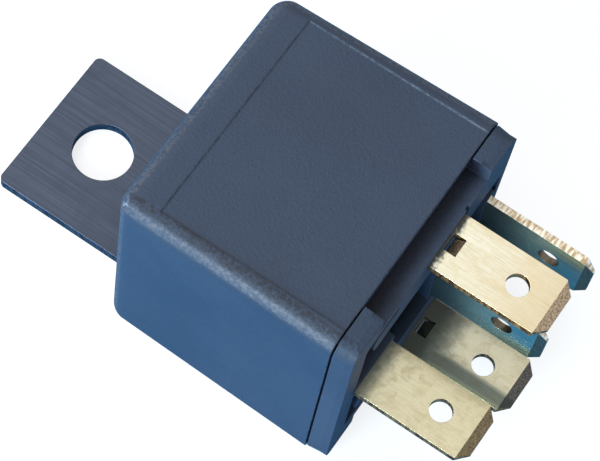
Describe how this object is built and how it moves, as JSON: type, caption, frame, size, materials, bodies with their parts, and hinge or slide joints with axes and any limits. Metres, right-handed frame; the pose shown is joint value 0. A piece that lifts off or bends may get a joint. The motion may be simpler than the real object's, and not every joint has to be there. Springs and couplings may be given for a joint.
{
  "type": "automotive relay",
  "caption": "Square plug-in automotive relay with a moulded cover, five blade terminals and a steel mounting bracket.",
  "frame": {"origin": "middle of the cover's back face, on which the relay lies", "axes": "+X the way the blade terminals point, +Z the outward normal of the cover's broad front face"},
  "size_m": [0.0545, 0.028, 0.027],
  "materials": {
    "housing_plastic": "fine-textured dark slate moulding",
    "base_plastic": "fine-textured dark slate moulding",
    "bracket_steel": "dark finished rolled steel",
    "terminal_brass": "rolled strip, sheared edges",
    "frame_iron": "zinc plated",
    "bobbin_plastic": "natural nylon",
    "coil_copper": "enamelled copper wire",
    "spring_bronze": "rolled copper alloy strip",
    "contact_silver": "silver alloy rivet"
  },
  "bodies": {
    "housing": {"cover": "housing_plastic", "base": "base_plastic", "bracket": "bracket_steel", "terminal_30": "terminal_brass", "terminal_85": "terminal_brass", "terminal_86": "terminal_brass", "terminal_87": "terminal_brass", "terminal_87a": "terminal_brass", "yoke": "frame_iron", "core": "frame_iron", "bobbin": "bobbin_plastic", "coil_winding": "coil_copper", "coil_lead_start": "coil_copper", "coil_lead_finish": "coil_copper", "yoke_rivets": "frame_iron", "terminal_rivet": "frame_iron", "fixed_contact_no": "contact_silver", "fixed_contact_nc": "contact_silver"},
    "armature": {"armature": "frame_iron", "armature_rivets": "frame_iron", "moving_contact": "contact_silver", "contact_spring": "spring_bronze"}
  },
  "joints": [
    {"name": "armature_hinge", "type": "hinge", "parent": "housing", "child": "armature", "pos_m": [-0.00569, -0.0114, 0.0135], "axis": [0, 0, -1], "range_deg": [0, 2.5], "stiffness_Nm_per_rad": 0.02, "springref_deg": -2.86, "deforming": ["contact_spring"]}
  ]
}
